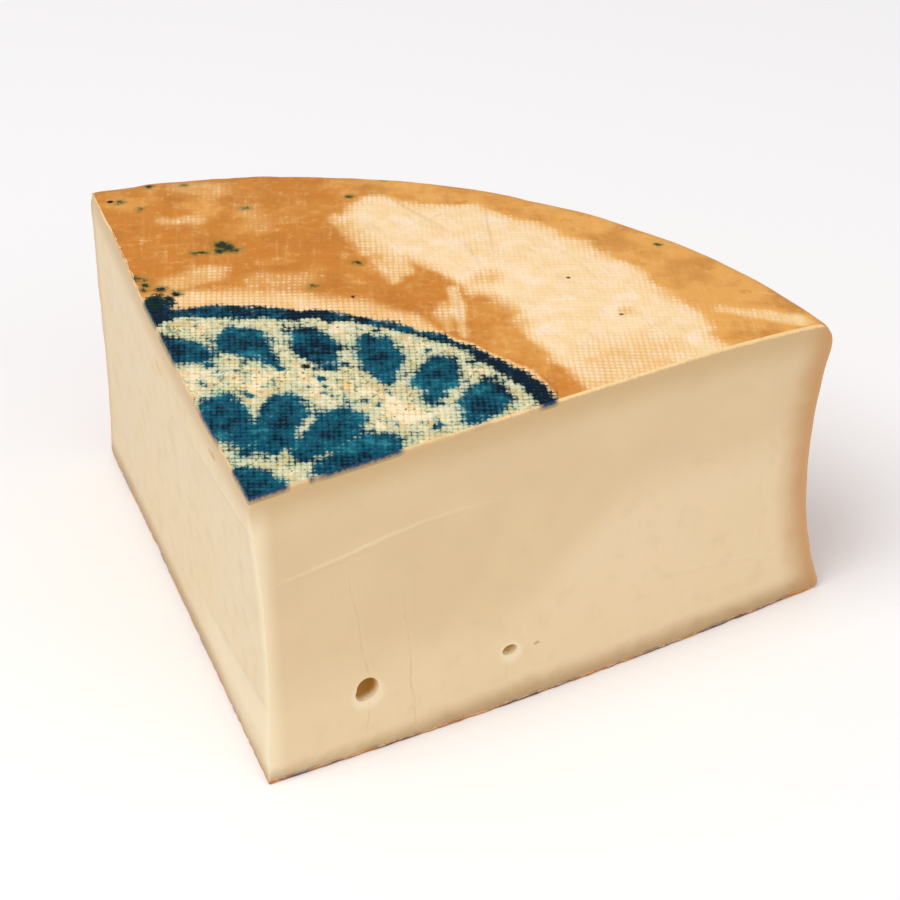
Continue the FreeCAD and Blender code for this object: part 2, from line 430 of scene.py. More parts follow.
def inside(plan, corners):
    """Distance inside an outline, less than 0 outside it."""
    near = np.full(len(plan), 1e9)
    odd = np.zeros(len(plan), bool)
    for (x0, y0), (x1, y1) in zip(corners, corners[1:] + corners[:1]):
        near = np.minimum(near, off_line(plan, x0, y0, x1, y1)[0])
        crosses = (y0 > plan[:, 1]) != (y1 > plan[:, 1])
        odd ^= crosses & (plan[:, 0] < (x1 - x0) * (plan[:, 1] - y0) / (y1 - y0 + 1e-9) + x0)
    return np.where(odd, near, -near)


def leaf(plan, out, turn, length, width, lean):
    """Distance inside a pointed oval that stands out from the middle of the stamp."""
    turn = math.radians(turn)
    middle = np.array(STAMP_MIDDLE) + out * np.array((math.cos(turn), math.sin(turn)))
    turn += math.radians(lean)
    way = np.array((math.cos(turn), math.sin(turn)))
    rel = plan - middle
    along = rel @ way / length
    across = (rel @ np.array((-way[1], way[0]))) / width
    return (1 - np.hypot(along, np.abs(across) ** 0.85)) * width


def around_stamp(spots):
    """Distance from the middle of the stamp and the turn about it in degrees."""
    rel = spots[:, :2] - np.array(STAMP_MIDDLE)
    return np.hypot(*rel.T), np.degrees(np.arctan2(rel[:, 1], rel[:, 0]))


def rim_line(turn):
    """Distance of the stamp's rim line from its middle, which spread as the wheel settled."""
    return RIM_LINE + RIM_LINE_SPREAD * eased(turn, 45, 80)


def stamp(spots):
    """Distance inside the ink of the round stamp: a rim line, a wreath of leaves and a plain rosette."""
    plan = spots[:, :2]
    out, turn = around_stamp(spots)

    # The rim line is heavier at its start, along its middle and toward its end
    heavy = 2.9 * eased(turn, 47, 56) + 2.3 * eased(turn, 23, 17) * (turn < 24)
    heavy = np.maximum(heavy, 1.5 * (turn > 20) * (turn < 50))
    ink = heavy - np.abs(out - (rim_line(turn) - heavy))
    ink = np.maximum(ink, spotted(spots, (RIM_LUMP,)))
    for far, count, first, step, length, width, lean in WREATH:
        for number in range(count):
            ink = np.maximum(ink, leaf(plan, far, first + step * number, length, width, lean))
    ink = np.maximum(ink, ROSETTE - out)
    return ink + 1.7 * grain(spots, 11.0, 3.1) + 1.2 * grain(spots, 4.5, 7.7)


def wear(spots):
    """How far the orange smear has come off the rind, from 0 to 1."""
    plan = spots[:, :2]
    soft = 3.0 * grain(spots, 14.0, 1.3) + 1.6 * grain(spots, 5.0, 2.9)
    deep = inside(plan, PALE_PATCH) + soft
    worn = 0.55 * eased(deep, -3.0, 1.5) + 0.45 * eased(deep, -0.5, 5.0)
    for x, y, wide, tall, much in WOVEN:
        off = np.hypot((plan[:, 0] - x) / wide, (plan[:, 1] - y) / tall)
        worn = worn * (1 - much * (1 - eased(off + 0.06 * soft, 0.4, 1.2)))
    out, turn = around_stamp(spots)
    beyond = out - rim_line(turn) + 0.5 * soft
    band = 12.0 * eased(turn, 20, 45) + 1.5
    worn = np.maximum(worn, 0.56 * (1 - eased(beyond, 0.35 * band, band)))
    worn = np.maximum(worn, 0.80 * (1 - eased(beyond, -3.0, 0.5)))
    for x0, y0, x1, y1, half, much in WORN_STREAKS:
        off, _ = off_line(plan, x0, y0, x1, y1)
        worn = np.maximum(worn, much * (1 - eased(off + 0.5 * soft, 0.2 * half, 1.5 * half)))
    return np.clip(worn + 0.06 * grain(spots, 8.0, 5.5), 0, 1)


def stamped(spots):
    """1 inside the stamp's rim line, easing to 0 outside."""
    out, turn = around_stamp(spots)
    return 1 - eased(out - rim_line(turn), -3.0, 1.0)


def pooled(spots):
    """Where the ring's ink ran together: its start, its middle lump and its end."""
    out, turn = around_stamp(spots)
    ends = eased(turn, 24, 14) + eased(turn, 68, 78) + np.exp(-((turn - 52) / 4.0) ** 2)
    ring = eased(out, 78, 84) * (0.3 + 0.7 * np.clip(ends, 0, 1))
    return ring + 0.5 * np.exp(-((out - 64) / 9) ** 2 - ((turn - 47) / 9) ** 2)


def cut_marks(spots, on_left):
    """Signed distances from the level and from the upright marks of a cut face, each with its strength."""
    x, z = spots[:, 0], spots[:, 2]
    along = spots @ np.array(ALONG_LEFT)
    wander = 0.5 * grain(spots, 6.0, 3.7) + 0.25 * grain(spots, 2.0, 4.9)
    level = z - np.interp(x, *zip(*FRONT_RIDGE)) + 0.6 * wander
    upper = z - np.interp(along, (-5, 74), (79.5, 75.6)) + wander
    lower = np.interp(along, (-5, 76), (23.3, 19)) - z + wander
    level = np.where(on_left, np.where(z > 50, upper, lower), level)
    much = np.where(on_left, np.interp(along, *zip(*LEFT_MUCH)), np.interp(x, *zip(*RIDGE_MUCH)))

    # Three upright marks of the front cut: two by the large eye and one under the small eye
    first = x - np.interp(z, (5, 24, 60), (29.6, 30.9, 26.6))
    second = np.interp(z, (5, 52), (43.9, 42.6)) - x
    kinds = (x < 36.5, x < 58)
    upright = np.select(kinds, (first, second), x - 72.5) + 1.3 * wander
    reach = np.select(kinds, (np.interp(z, (3, 8, 52, 60), (0, 1, 1, 0)),
                              np.interp(z, (2, 8, 42, 53), (0, 1, 0.8, 0))),
                      np.interp(z, (2, 6, 13, 16), (0, 0.8, 0.8, 0)))
    return {"level": level, "level_much": much, "upright": upright,
            "upright_much": np.where(on_left, 0, reach)}


def spotted(spots, places):
    """Distance inside the nearest of some round spots, in millimetres."""
    near = np.full(len(spots), FAR_OUT)
    for x, y, size in places:
        near = np.maximum(near, size - np.hypot(spots[:, 0] - x, spots[:, 1] - y))
    return near


def thread_counts(spots):
    """Threads of the cloth counted across the rind both ways; the cloth lay a little uneven."""
    rows = []
    for angle, pitch, seed in zip(THREAD_ANGLES, THREAD_PITCHES, (12.3, 15.7)):
        across = spots[:, 0] * math.cos(angle) + spots[:, 1] * math.sin(angle)
        rows.append(across / pitch + 0.3 * grain(spots, 21.0, seed) + 0.14 * grain(spots, 7.0, seed + 2.0))
    return np.stack(rows, 1)


def pillows(counts):
    """Print of the cloth: 1 on the raised squares, 0 in the grooves of the threads."""
    return np.abs(np.sin(np.pi * counts)).prod(1) ** 0.6


# ---------------------------------------------------------------- finishes

def tint(red, green, blue):
    """Colour as the eye reads it, 0 to 255, to the renderer's own scale."""
    shades = np.array((red, green, blue)) / 255
    light = np.where(shades <= 0.04, shades / 12.92, ((shades + 0.055) / 1.055) ** 2.4)
    return (*light.tolist(), 1.0)


SMEAR_DEEP = tint(202, 127, 50)
SMEAR_THIN = tint(229, 166, 86)
SMEAR_PALE = tint(242, 192, 120)
SMEAR_DARK = tint(182, 112, 44)
SMEAR_BROWN = tint(178, 110, 56)
PALE_RIND = tint(252, 220, 175)
PALE_WARM = tint(248, 212, 158)
PALE_ROSE = tint(255, 229, 202)
PALE_DULL = tint(222, 190, 150)
PALE_GROOVE = tint(236, 184, 116)
DAMP_CREAM = tint(252, 236, 200)
DAMP_GREEN = tint(240, 230, 184)
DAMP_GROOVE = tint(226, 184, 116)
INK_THIN = tint(34, 122, 134)
INK_FULL = tint(4, 78, 98)
INK_POOLED = tint(0, 26, 42)
INK_BLEED = tint(110, 166, 142)
INK_SPECK = tint(70, 116, 84)
INK_CUT = tint(6, 50, 88)
MOULD_CORE = tint(0, 46, 30)
MOULD_EDGE = tint(96, 118, 54)
DIRT = tint(34, 26, 20)
# Painted light: one paste in a shaded tone for the front cut and in lit tones for its belly and for the left
# cut
PASTE_FRONT_SHADED = tint(222, 194, 152)
PASTE_BELLY_LIT = tint(233, 208, 169)
PASTE_LEFT_LIT = tint(230, 208, 170)
PASTE_WARM = tint(230, 204, 158)
PASTE_DULL = tint(214, 188, 146)
PASTE_PALE = tint(243, 226, 190)
PASTE_UNDER_TOP = tint(204, 170, 120)
# Painted shade: brown paste for the darkening toward the base and in the cores of the knife's tears
PASTE_STAINED = tint(158, 138, 98)
PASTE_BROWN_SHADE = tint(180, 146, 102)
# Painted shade: darker paste for a band by the heel
PASTE_SHADE_BY_HEEL = tint(195, 144, 89)
# Painted shade: deep orange inside the eyes
PASTE_SHADE_IN_EYE = tint(190, 138, 36)
CUT_RIND = tint(250, 213, 154)
SKIN_BROWN = tint(112, 72, 48)
SKIN_GREY = tint(140, 146, 146)
SKIN_FLAKE = tint(222, 184, 144)
SKIN_HEEL = tint(206, 158, 106)
FLOOR_TONE = tint(250, 248, 247)

# Sockets of a Mix step that hold its share and its colours
MIX_INPUTS = (0, 6, 7)
MIX_RESULT = 2


class Finish:
    """One finish, put together a step at a time."""

    def __init__(self, name):
        self.material = bpy.data.materials.new(name)
        self.material.use_nodes = True
        self.tree = self.material.node_tree
        self.surface = self.tree.nodes["Principled BSDF"]

    def feed(self, socket, source):
        """Links a source to a socket, or sets the socket to a plain value."""
        if isinstance(source, bpy.types.NodeSocket):
            self.tree.links.new(source, socket)
        else:
            socket.default_value = source

    def sum(self, how, first, second=0.0):
        """Sum of one or two values, of the kind that how names."""
        step = self.tree.nodes.new("ShaderNodeMath")
        step.operation = how
        self.feed(step.inputs[0], first)
        self.feed(step.inputs[1], second)
        return step.outputs[0]

    def add(self, first, *others):
        """All of some values added up."""
        for other in others:
            first = self.sum("ADD", first, other)
        return first

    def times(self, first, *others):
        """All of some values multiplied."""
        for other in others:
            first = self.sum("MULTIPLY", first, other)
        return first

    def field(self, name):
        """Value kept at each vertex under a name."""
        step = self.tree.nodes.new("ShaderNodeAttribute")
        step.attribute_name = name
        return step.outputs["Fac"]

    def ease(self, value, low, high, start=0.0, end=1.0):
        """Goes smoothly from start to end while the value goes from low to high."""
        step = self.tree.nodes.new("ShaderNodeMapRange")
        step.interpolation_type = "SMOOTHSTEP"
        names = ("Value", "From Min", "From Max", "To Min", "To Max")
        for name, source in zip(names, (value, low, high, start, end)):
            self.feed(step.inputs[name], source)
        return step.outputs["Result"]

    def blend(self, share, first, second):
        """Colour that goes from the first to the second with the share."""
        step = self.tree.nodes.new("ShaderNodeMix")
        step.data_type = "RGBA"
        for socket, source in zip(MIX_INPUTS, (share, first, second)):
            self.feed(step.inputs[socket], source)
        return step.outputs[MIX_RESULT]

    def over(self, under, colour, pattern, low, high, much=1.0):
        """Lays a colour over another, by as much as given where a pattern has gone from low to high."""
        return self.blend(self.ease(pattern, low, high, 0.0, much), under, colour)

    def place(self, stretch=(1, 1, 1), turn=0.0):
        """Object coordinates in millimetres, turned back by an angle and then stretched."""
        source = self.tree.nodes.new("ShaderNodeTexCoord")
        step = self.tree.nodes.new("ShaderNodeMapping")
        step.vector_type = "TEXTURE"
        self.feed(step.inputs["Vector"], source.outputs["Object"])
        step.inputs["Rotation"].default_value[2] = turn
        step.inputs["Scale"].default_value = [MM / s for s in stretch]
        return step.outputs["Vector"]

    def push(self, pattern, much):
        """Turns a pattern of 0 to 1 into a push to both sides of nothing."""
        return self.times(self.add(pattern, -0.5), much)

    def pushed(self, value, *pushes):
        """Value pushed up and down by patterns, each by as much as is given with it."""
        return self.add(value, *(self.push(pattern, much) for pattern, much in pushes))

    def noise(self, place, size, detail=2.0, rough=0.5):
        """Noise of one size in millimetres, from 0 to 1."""
        step = self.tree.nodes.new("ShaderNodeTexNoise")
        self.feed(step.inputs["Vector"], place)
        step.inputs["Scale"].default_value = 1.0 / size
        step.inputs["Detail"].default_value = detail
        step.inputs["Roughness"].default_value = rough
        return step.outputs["Fac"]

    def counts(self):
        """Threads of the cloth counted both ways."""
        step = self.tree.nodes.new("ShaderNodeUVMap")
        step.uv_map = "threads"
        return step.outputs["UV"]

    def threads(self, stretch):
        """Coordinates counted in threads of the cloth, stretched along them."""
        step = self.tree.nodes.new("ShaderNodeMapping")
        self.feed(step.inputs["Vector"], self.counts())
        step.inputs["Scale"].default_value = stretch
        return step.outputs["Vector"]

    def cloth(self):
        """Print of the cloth: 0 in the grooves to 1 on the raised squares, and where the grooves cross."""
        parts = self.tree.nodes.new("ShaderNodeSeparateXYZ")
        self.feed(parts.inputs[0], self.counts())
        waves = [self.sum("ABSOLUTE", self.sum("SINE", self.times(part, math.pi)))
                 for part in parts.outputs[:2]]
        raised = self.sum("POWER", self.times(*waves), 0.6)
        return raised, self.ease(self.sum("MAXIMUM", *waves), 0.55, 0.25)

    def flesh(self, weight, reach, tints, shine):
        """How much light goes into the cheese, how far in millimetres for each colour, and its shine."""
        self.surface.inputs["Subsurface Weight"].default_value = weight
        self.surface.inputs["Subsurface Radius"].default_value = tints
        self.surface.inputs["Subsurface Scale"].default_value = reach * MM
        self.surface.inputs["Specular IOR Level"].default_value = shine

    def relief(self, height, distance):
        """Fine relief of the surface, in millimetres at a height of 1."""
        step = self.tree.nodes.new("ShaderNodeBump")
        step.inputs["Strength"].default_value = 1.0
        step.inputs["Distance"].default_value = distance * MM
        self.feed(step.inputs["Height"], height)
        self.feed(self.surface.inputs["Normal"], step.outputs["Normal"])


def rind_patterns(f):
    """Noises, kept fields and the cloth print that the layers of the rind share."""
    p = SimpleNamespace()
    p.place = f.place()
    p.broad = f.noise(p.place, 34.0, 3.0, 0.55)
    p.patchy = f.noise(p.place, 9.0, 4.0, 0.6)
    p.mottled = f.noise(p.place, 2.6, 3.0, 0.6)
    p.fine = f.noise(p.place, 0.7, 3.0, 0.7)
    p.other = f.noise(f.place((0.9, 1.1, 1.3)), 5.0, 3.0, 0.6)
    p.brushed = f.noise(f.threads((0.9, 0.09, 1.0)), 1.0, 3.0, 0.6)
    p.crossed = f.noise(f.threads((0.07, 0.8, 1.0)), 1.0, 3.0, 0.6)
    p.raised, p.crossing = f.cloth()
    p.worn, p.ink = f.field("worn"), f.field("ink")
    p.stamped, p.printed = f.field("stamped"), f.field("printed")
    p.uneven = f.ease(f.add(f.times(p.mottled, 0.6), f.times(p.patchy, 0.4)), 0.38, 0.62, 0.35, 1.25)
    p.groove = f.times(f.sum("SUBTRACT", 1.0, p.raised), p.uneven, p.printed)
    p.smooth = f.ease(p.worn, 0.98, 0.78)
    return p


def orange_smear(f, p):
    """The smear, darker where it pooled and thinner where it wears off."""
    thinner = f.add(f.times(p.broad, 0.6), f.times(p.patchy, 0.4), f.times(f.field("thick"), -0.16))
    orange = f.blend(f.ease(thinner, 0.3, 0.56), SMEAR_DEEP, SMEAR_THIN)
    orange = f.over(orange, SMEAR_DARK, f.noise(p.place, 16.0, 2.0), 0.5, 0.66, 0.5)
    streaked = f.ease(p.patchy, 0.42, 0.6, 0.06, 0.3)
    orange = f.blend(f.times(f.ease(p.brushed, 0.48, 0.75), streaked), orange, SMEAR_PALE)
    orange = f.blend(f.times(f.ease(p.crossed, 0.5, 0.78), streaked), orange, SMEAR_PALE)
    orange = f.over(orange, SMEAR_PALE, p.mottled, 0.52, 0.72, 0.3)
    orange = f.over(orange, SMEAR_DARK, p.other, 0.56, 0.74, 0.45)
    orange = f.over(orange, SMEAR_DARK, p.fine, 0.6, 0.75, 0.25)
    orange = f.blend(f.times(p.groove, f.ease(p.worn, 0.0, 0.3, 0.08, 0.3)), orange, SMEAR_DEEP)
    orange = f.over(orange, SMEAR_PALE, p.worn, 0.02, 0.6, 0.75)
    return orange


def pale_rind(f, p):
    """Rind without its smear, scratched and creased."""
    pale = f.blend(f.ease(p.other, 0.35, 0.65), PALE_RIND, PALE_WARM)
    pale = f.over(pale, PALE_ROSE, p.patchy, 0.5, 0.68, 0.65)
    pale = f.blend(f.times(p.groove, p.smooth, 0.4), pale, PALE_GROOVE)
    pale = f.over(pale, PALE_GROOVE, p.crossed, 0.56, 0.8, 0.28)
    scratch = f.noise(f.place((1.0, 0.12, 1.0), TURN), 1.4, 3.0, 0.7)
    pale = f.over(pale, PALE_ROSE, scratch, 0.56, 0.72, 0.5)
    pale = f.over(pale, PALE_DULL, scratch, 0.44, 0.34, 0.3)
    pale = f.blend(f.times(f.field("crease"), 0.55), pale, PALE_DULL)
    pale = f.over(pale, PALE_GROOVE, p.fine, 0.62, 0.74, 0.25)
    return pale


def bareness(f, p):
    """How much of the pale rind shows; it shows on the raised squares first."""
    bare = f.pushed(p.worn, (p.patchy, 0.6), (p.mottled, 0.6), (p.fine, 0.5), (p.brushed, 0.5),
                    (p.crossed, 0.5))
    lifted = f.times(f.add(p.raised, -0.62), p.printed, p.uneven, 0.42)
    return f.ease(f.add(bare, lifted), 0.2, 0.86)


def damp_rind(f, p):
    """Under the stamp: greenish cream with flecks of orange and ink."""
    damp = f.blend(f.ease(p.patchy, 0.4, 0.62), DAMP_CREAM, DAMP_GREEN)
    damp = f.blend(f.times(p.groove, f.ease(p.mottled, 0.35, 0.65, 0.3, 0.9)), damp, DAMP_GROOVE)
    finer = f.times(p.fine, 0.5)
    damp = f.over(damp, SMEAR_PALE, f.add(p.other, finer), 0.76, 0.9, 0.8)
    damp = f.blend(f.times(p.crossing, f.ease(f.add(p.patchy, finer), 0.72, 0.86)), damp, SKIN_BROWN)
    speck = f.add(f.noise(p.place, 1.5, 1.0), f.times(p.patchy, 0.35))
    damp = f.over(damp, INK_SPECK, speck, 0.8, 0.86, 0.85)
    damp = f.over(damp, SMEAR_THIN, speck, 0.42, 0.36, 0.6)
    return damp


def with_ink(f, p, rind):
    """Ink on the rind: deep in the grooves, thinner on the squares, feathered along the threads."""
    edge = f.pushed(p.ink, (p.mottled, 4.5), (p.fine, 3.0))
    edge = f.add(edge, f.times(f.add(p.raised, -0.6), -1.3))
    covers = f.ease(edge, -0.9, 0.7)
    deep = f.add(f.times(f.pushed(p.ink, (p.patchy, 30.0)), 0.06), f.times(p.groove, 0.75), f.field("pooled"))
    deep = f.pushed(deep, (p.mottled, 1.3), (p.other, 1.0), (p.fine, 0.8), (p.brushed, 0.9), (p.crossed, 0.9))
    colour = f.blend(f.ease(deep, -0.35, 0.3), INK_THIN, INK_FULL)
    colour = f.over(colour, INK_POOLED, deep, 0.3, 1.15)
    rind = f.blend(f.times(f.ease(edge, -4.5, 0.2), 0.5, p.stamped), rind, INK_BLEED)
    taken = f.ease(f.add(p.fine, f.times(p.mottled, 0.5)), 0.45, 0.62, 0.75, 1.0)
    rind = f.blend(f.times(covers, taken), rind, colour)
    return rind, covers


def with_mould(f, p, rind):
    """Mould and tiny dark dots on the rind."""
    spot = f.pushed(f.field("mould"), (p.fine, 3.4), (p.mottled, 3.0))
    rind = f.blend(f.times(f.ease(spot, -2.2, -0.6), f.ease(p.ink, -1.0, -6.0, 0.0, 0.4)), rind, MOULD_EDGE)
    rind = f.over(rind, MOULD_CORE, spot, -0.9, 0.5, 0.94)
    rind = f.blend(f.times(f.ease(spot, -0.2, 1.4), f.ease(p.ink, -12.0, -6.0)), rind, INK_POOLED)
    rind = f.over(rind, DIRT, f.pushed(f.field("dots"), (p.fine, 0.6)), -0.4, 0.1)
    return rind


def washed_rind():
    """Orange smear over pale rind, worn off the squares of the cloth print, with stamp ink and mould."""
    f = Finish("washed_rind")
    p = rind_patterns(f)
    rind = f.blend(bareness(f, p), orange_smear(f, p), pale_rind(f, p))
    rind = f.blend(f.times(p.stamped, 0.92), rind, damp_rind(f, p))
    rind, covers = with_ink(f, p, rind)
    rind = with_mould(f, p, rind)

    # Heel and base: the same smear, browner toward the foot
    rind = f.over(rind, SMEAR_BROWN, f.field("height"), 60.0, 2.0, 0.35)
    f.feed(f.surface.inputs["Base Color"], rind)
    dull = f.add(p.mottled, f.times(covers, -0.2))
    f.feed(f.surface.inputs["Roughness"], f.ease(dull, 0.2, 0.8, 0.5, 0.66))
    f.flesh(weight=0.05, reach=0.8, tints=(1.0, 0.5, 0.25), shine=0.06)
    weave = f.times(p.raised, p.printed, f.ease(p.worn, 0.05, 0.5, 0.35, 1.0))
    f.relief(f.add(weave, f.times(p.mottled, 0.6), f.times(p.fine, 0.5)), 0.16)
    return f.material


def cut_patterns(f):
    """Noises, kept fields and marks that the layers of the cut faces share."""
    p = SimpleNamespace()
    p.place = f.place()
    p.broad = f.noise(p.place, 30.0, 2.0)
    p.patchy = f.noise(p.place, 7.0, 3.0)
    p.fine = f.noise(p.place, 0.8, 3.0, 0.6)
    p.drag = f.noise(f.place((1.0, 1.0, 0.08)), 1.6, 3.0, 0.6)
    p.depth, p.height, p.heel = f.field("depth"), f.field("height"), f.field("heel")
    p.point, p.along, p.left = f.field("point"), f.field("along_cut"), f.field("left_cut")
    p.level, p.level_much = f.field("level"), f.field("level_much")
    p.inked = f.ease(f.field("ink"), -1.0, 1.0)
    p.unsure = f.push(p.patchy, 5.0)
    p.crest = f.times(f.ease(f.sum("ABSOLUTE", p.level), 0.9, 0.0), p.level_much)
    p.upright = f.sum("ABSOLUTE", f.pushed(f.field("upright"), (p.fine, 0.6)))
    p.torn = f.times(f.field("upright_much"), f.ease(f.noise(p.place, 4.0, 2.0), 0.4, 0.6, 0.25, 1.0))
    p.flaky = f.noise(f.place((1.0, 1.0, 2.0)), 1.8, 2.0)
    p.foot = f.pushed(p.height, (p.patchy, 1.4))
    p.flake = f.times(f.ease(f.pushed(p.foot, (p.flaky, 3.0)), 1.7, 1.2), f.ease(p.flaky, 0.42, 0.5))
    return p


def plain_paste(f, p):
    """Paste by itself, with painted light: the one paste is shaded darker on the front cut and lit paler low
    on its belly, toward the heel and on the left cut; the corner at the point is palest.
    """
    # Painted light: the front cut shaded darker high up and lit paler low down and toward the heel, the left
    # cut lit paler
    lower = f.add(p.height, f.times(p.broad, 14.0), f.ease(p.along, 65.0, 120.0, 0.0, -26.0))
    front_painted_light = f.blend(f.ease(lower, 46.0, 26.0), PASTE_FRONT_SHADED, PASTE_BELLY_LIT)
    paste = f.blend(p.left, front_painted_light, PASTE_LEFT_LIT)
    paste = f.over(paste, PASTE_WARM, p.broad, 0.4, 0.65, 0.35)
    paste = f.over(paste, PASTE_DULL, p.patchy, 0.5, 0.75, 0.3)
    paste = f.over(paste, PASTE_DULL, p.drag, 0.5, 0.8, 0.09)
    paste = f.over(paste, PASTE_PALE, p.point, 7.0, 1.2, 0.8)
    return paste


def rind_tone_and_painted_shade(f, p, paste):
    """Paste browner under the top rind and stained under the ink, with painted shade darkening it toward the
    base and the heel.
    """
    below_top = f.add(p.depth, p.unsure)
    paste = f.over(paste, PASTE_UNDER_TOP, below_top, 13.0, 2.0, 0.75)
    paste = f.blend(f.times(f.ease(below_top, 7.0, 1.0), p.inked, 0.85), paste, PASTE_STAINED)
    # Painted shade: the paste darker toward the base, less so near the point
    shade_near_base = f.add(p.height, p.unsure, f.ease(p.point, 75.0, 15.0, 0.0, 2.5))
    paste = f.over(paste, PASTE_BROWN_SHADE, shade_near_base, 9.0, 1.5, 0.85)
    # Painted shade: the paste darker in a band by the heel, narrower on the left cut
    shade_by_heel = f.add(p.heel, p.unsure, f.times(p.left, 7.0))
    paste = f.over(paste, PASTE_SHADE_BY_HEEL, shade_by_heel, 12.5, 0.5, 0.85)
    return paste


def eye_light_and_shade(f, p, paste):
    """Paste with painted light round the lower rim of each eye, and painted shade inside them: deep orange,
    deeper the further in.
    """
    # Painted light: paler paste round each eye, centred a little below it on the lit lower rim
    paste = f.over(paste, PASTE_PALE, f.field("near_eye"), 2.6, 0.0, 0.7)
    # Painted shade: deeper orange the deeper into an eye, starting sooner in the slits of the left cut
    hollow = f.times(f.field("hollow"), f.add(f.times(p.left, 1.6), 1.0))
    paste = f.over(paste, PASTE_SHADE_IN_EYE, hollow, 0.7, 2.8, 0.95)
    return paste


def knife_marks(f, p, paste):
    """Marks of the knife: long ridges with a painted highlight on their crest and a painted shadow in a band
    below, and short upright tears with painted light round them and painted shade in their core.
    """
    # The left cut is paler below its lower ridge
    below = f.times(f.ease(p.level, 0.0, 1.2), f.ease(p.height, 27.0, 24.0), f.ease(p.height, 6.0, 12.0))
    paste = f.blend(f.times(below, p.left, f.ease(p.along, 78.0, 50.0, 0.0, 0.6)), paste, PASTE_PALE)

    # Painted shadow in a band just below each long ridge, then a painted highlight on its crest
    under = f.times(f.ease(f.sum("ABSOLUTE", f.add(p.level, 1.3)), 1.2, 0.2), p.level_much)
    paste = f.blend(f.times(under, 0.3), paste, PASTE_DULL)
    paste = f.blend(f.times(p.crest, 0.4), paste, PASTE_PALE)
    # Painted light round each tear, then painted shade in its core
    paste = f.blend(f.times(f.ease(p.upright, 1.6, 0.5), p.torn, 0.1), paste, PASTE_PALE)
    paste = f.blend(f.times(f.ease(p.upright, 0.6, 0.1), p.torn, 0.22), paste, PASTE_BROWN_SHADE)
    return paste


def cut_edges(f, p, paste):
    """Cut edge of the rind: stained where the ink was cut through, flaky at the foot, brown at the heel."""
    thin = f.push(p.fine, 1.2)
    lip = f.ease(f.add(p.depth, thin), 1.5, 0.8)
    paste = f.blend(f.times(lip, f.ease(p.along, 20.0, 110.0, 0.45, 0.9)), paste, CUT_RIND)
    paste = f.blend(f.times(p.inked, f.ease(f.add(p.depth, f.times(thin, 1.4)), 2.0, 0.8)), paste, INK_CUT)
    kind = f.noise(p.place, 13.0, 2.0)
    grey = f.ease(f.noise(f.place((1.1, 0.9, 1.0)), 10.0, 2.0), 0.54, 0.6)
    tone = f.blend(f.ease(kind, 0.58, 0.64), f.blend(grey, SKIN_FLAKE, SKIN_GREY), SMEAR_THIN)
    paste = f.blend(f.times(p.flake, 0.9), paste, tone)
    dark = f.blend(f.ease(kind, 0.42, 0.56), SKIN_BROWN, SMEAR_DEEP)
    paste = f.over(paste, dark, f.pushed(p.foot, (p.flaky, 0.8)), 0.95, 0.6, 0.9)
    paste = f.over(paste, SKIN_HEEL, f.add(p.heel, thin), 1.6, 0.6, 0.8)
    return paste


def cut_paste():
    """Pale elastic paste, browner under the top rind, with painted light and shade by face, toward the base
    and the heel, in and round the eyes and along the knife marks, and faint drag marks of the knife.
    """
    f = Finish("cut_paste")
    p = cut_patterns(f)
    paste = eye_light_and_shade(f, p, rind_tone_and_painted_shade(f, p, plain_paste(f, p)))
    paste = cut_edges(f, p, knife_marks(f, p, paste))
    f.feed(f.surface.inputs["Base Color"], paste)
    f.feed(f.surface.inputs["Roughness"], f.ease(p.patchy, 0.2, 0.8, 0.42, 0.56))
    f.flesh(weight=0.22, reach=3.0, tints=(1.0, 0.62, 0.34), shine=0.3)
    tear = f.times(f.ease(p.upright, 1.0, 0.0), p.torn, -1.0)
    bumps = f.add(f.times(p.drag, 0.15), f.times(p.fine, 0.35), f.times(p.crest, 2.0), f.times(p.flake, 5.0))
    f.relief(f.add(bumps, tear), 0.06)
    return f.material


def floor_finish():
    """Pale studio floor."""
    f = Finish("studio_floor")
    f.feed(f.surface.inputs["Base Color"], FLOOR_TONE)
    f.surface.inputs["Roughness"].default_value = 0.9
    f.surface.inputs["Specular IOR Level"].default_value = 0.1
    return f.material


# ---------------------------------------------------------------- the piece

def numbers(items, name, width):
    """Reads one property of mesh items into an array."""
    found = np.empty(len(items) * width)
    items.foreach_get(name, found)
    return found.reshape(-1, width) if width > 1 else found


def behind_cuts(blank):
    """How far spots of the blank lie behind the front cut and behind the left cut."""
    return -blank @ np.array(FRONT_OUT), -blank @ np.array(LEFT_OUT)


def folds(spots, size, seed):
    """The same grain from 0 to 1, for what only sinks."""
    return 0.5 + 0.5 * grain(spots, size, seed)


def find_rind(mesh):
    """Which faces are rind, and which corners of the mesh lie on the upright side of the heel."""
    middles = numbers(mesh.polygons, "center", 3) / MM
    normals = numbers(mesh.polygons, "normal", 3)
    ways = middles[:, :2] / np.hypot(*middles[:, :2].T)[:, None]
    outward = (normals[:, :2] * ways).sum(1)
    in_cut = np.zeros(len(middles), bool)
    for out in (FRONT_OUT, LEFT_OUT):
        in_cut |= (normals @ np.array(out) > 0.6) & (middles @ np.array(out) > -LIP - SLACK)
    top = (normals[:, 2] > 0.5) & (middles[:, 2] > WHEEL_HEIGHT - LIP - SLACK)
    base = (normals[:, 2] < -0.5) & (middles[:, 2] < LIP + SLACK)
    heel = (np.hypot(*middles[:, :2].T) > RIM_INSIDE - 0.1) & ~in_cut
    heel &= (outward > 0.5) | (np.abs(normals[:, 2]) > 0.3)
    owner = np.repeat(np.arange(len(mesh.polygons)), numbers(mesh.polygons, "loop_total", 1).astype(int))
    return top | base | heel, (heel & (np.abs(normals[:, 2]) < 0.6))[owner]


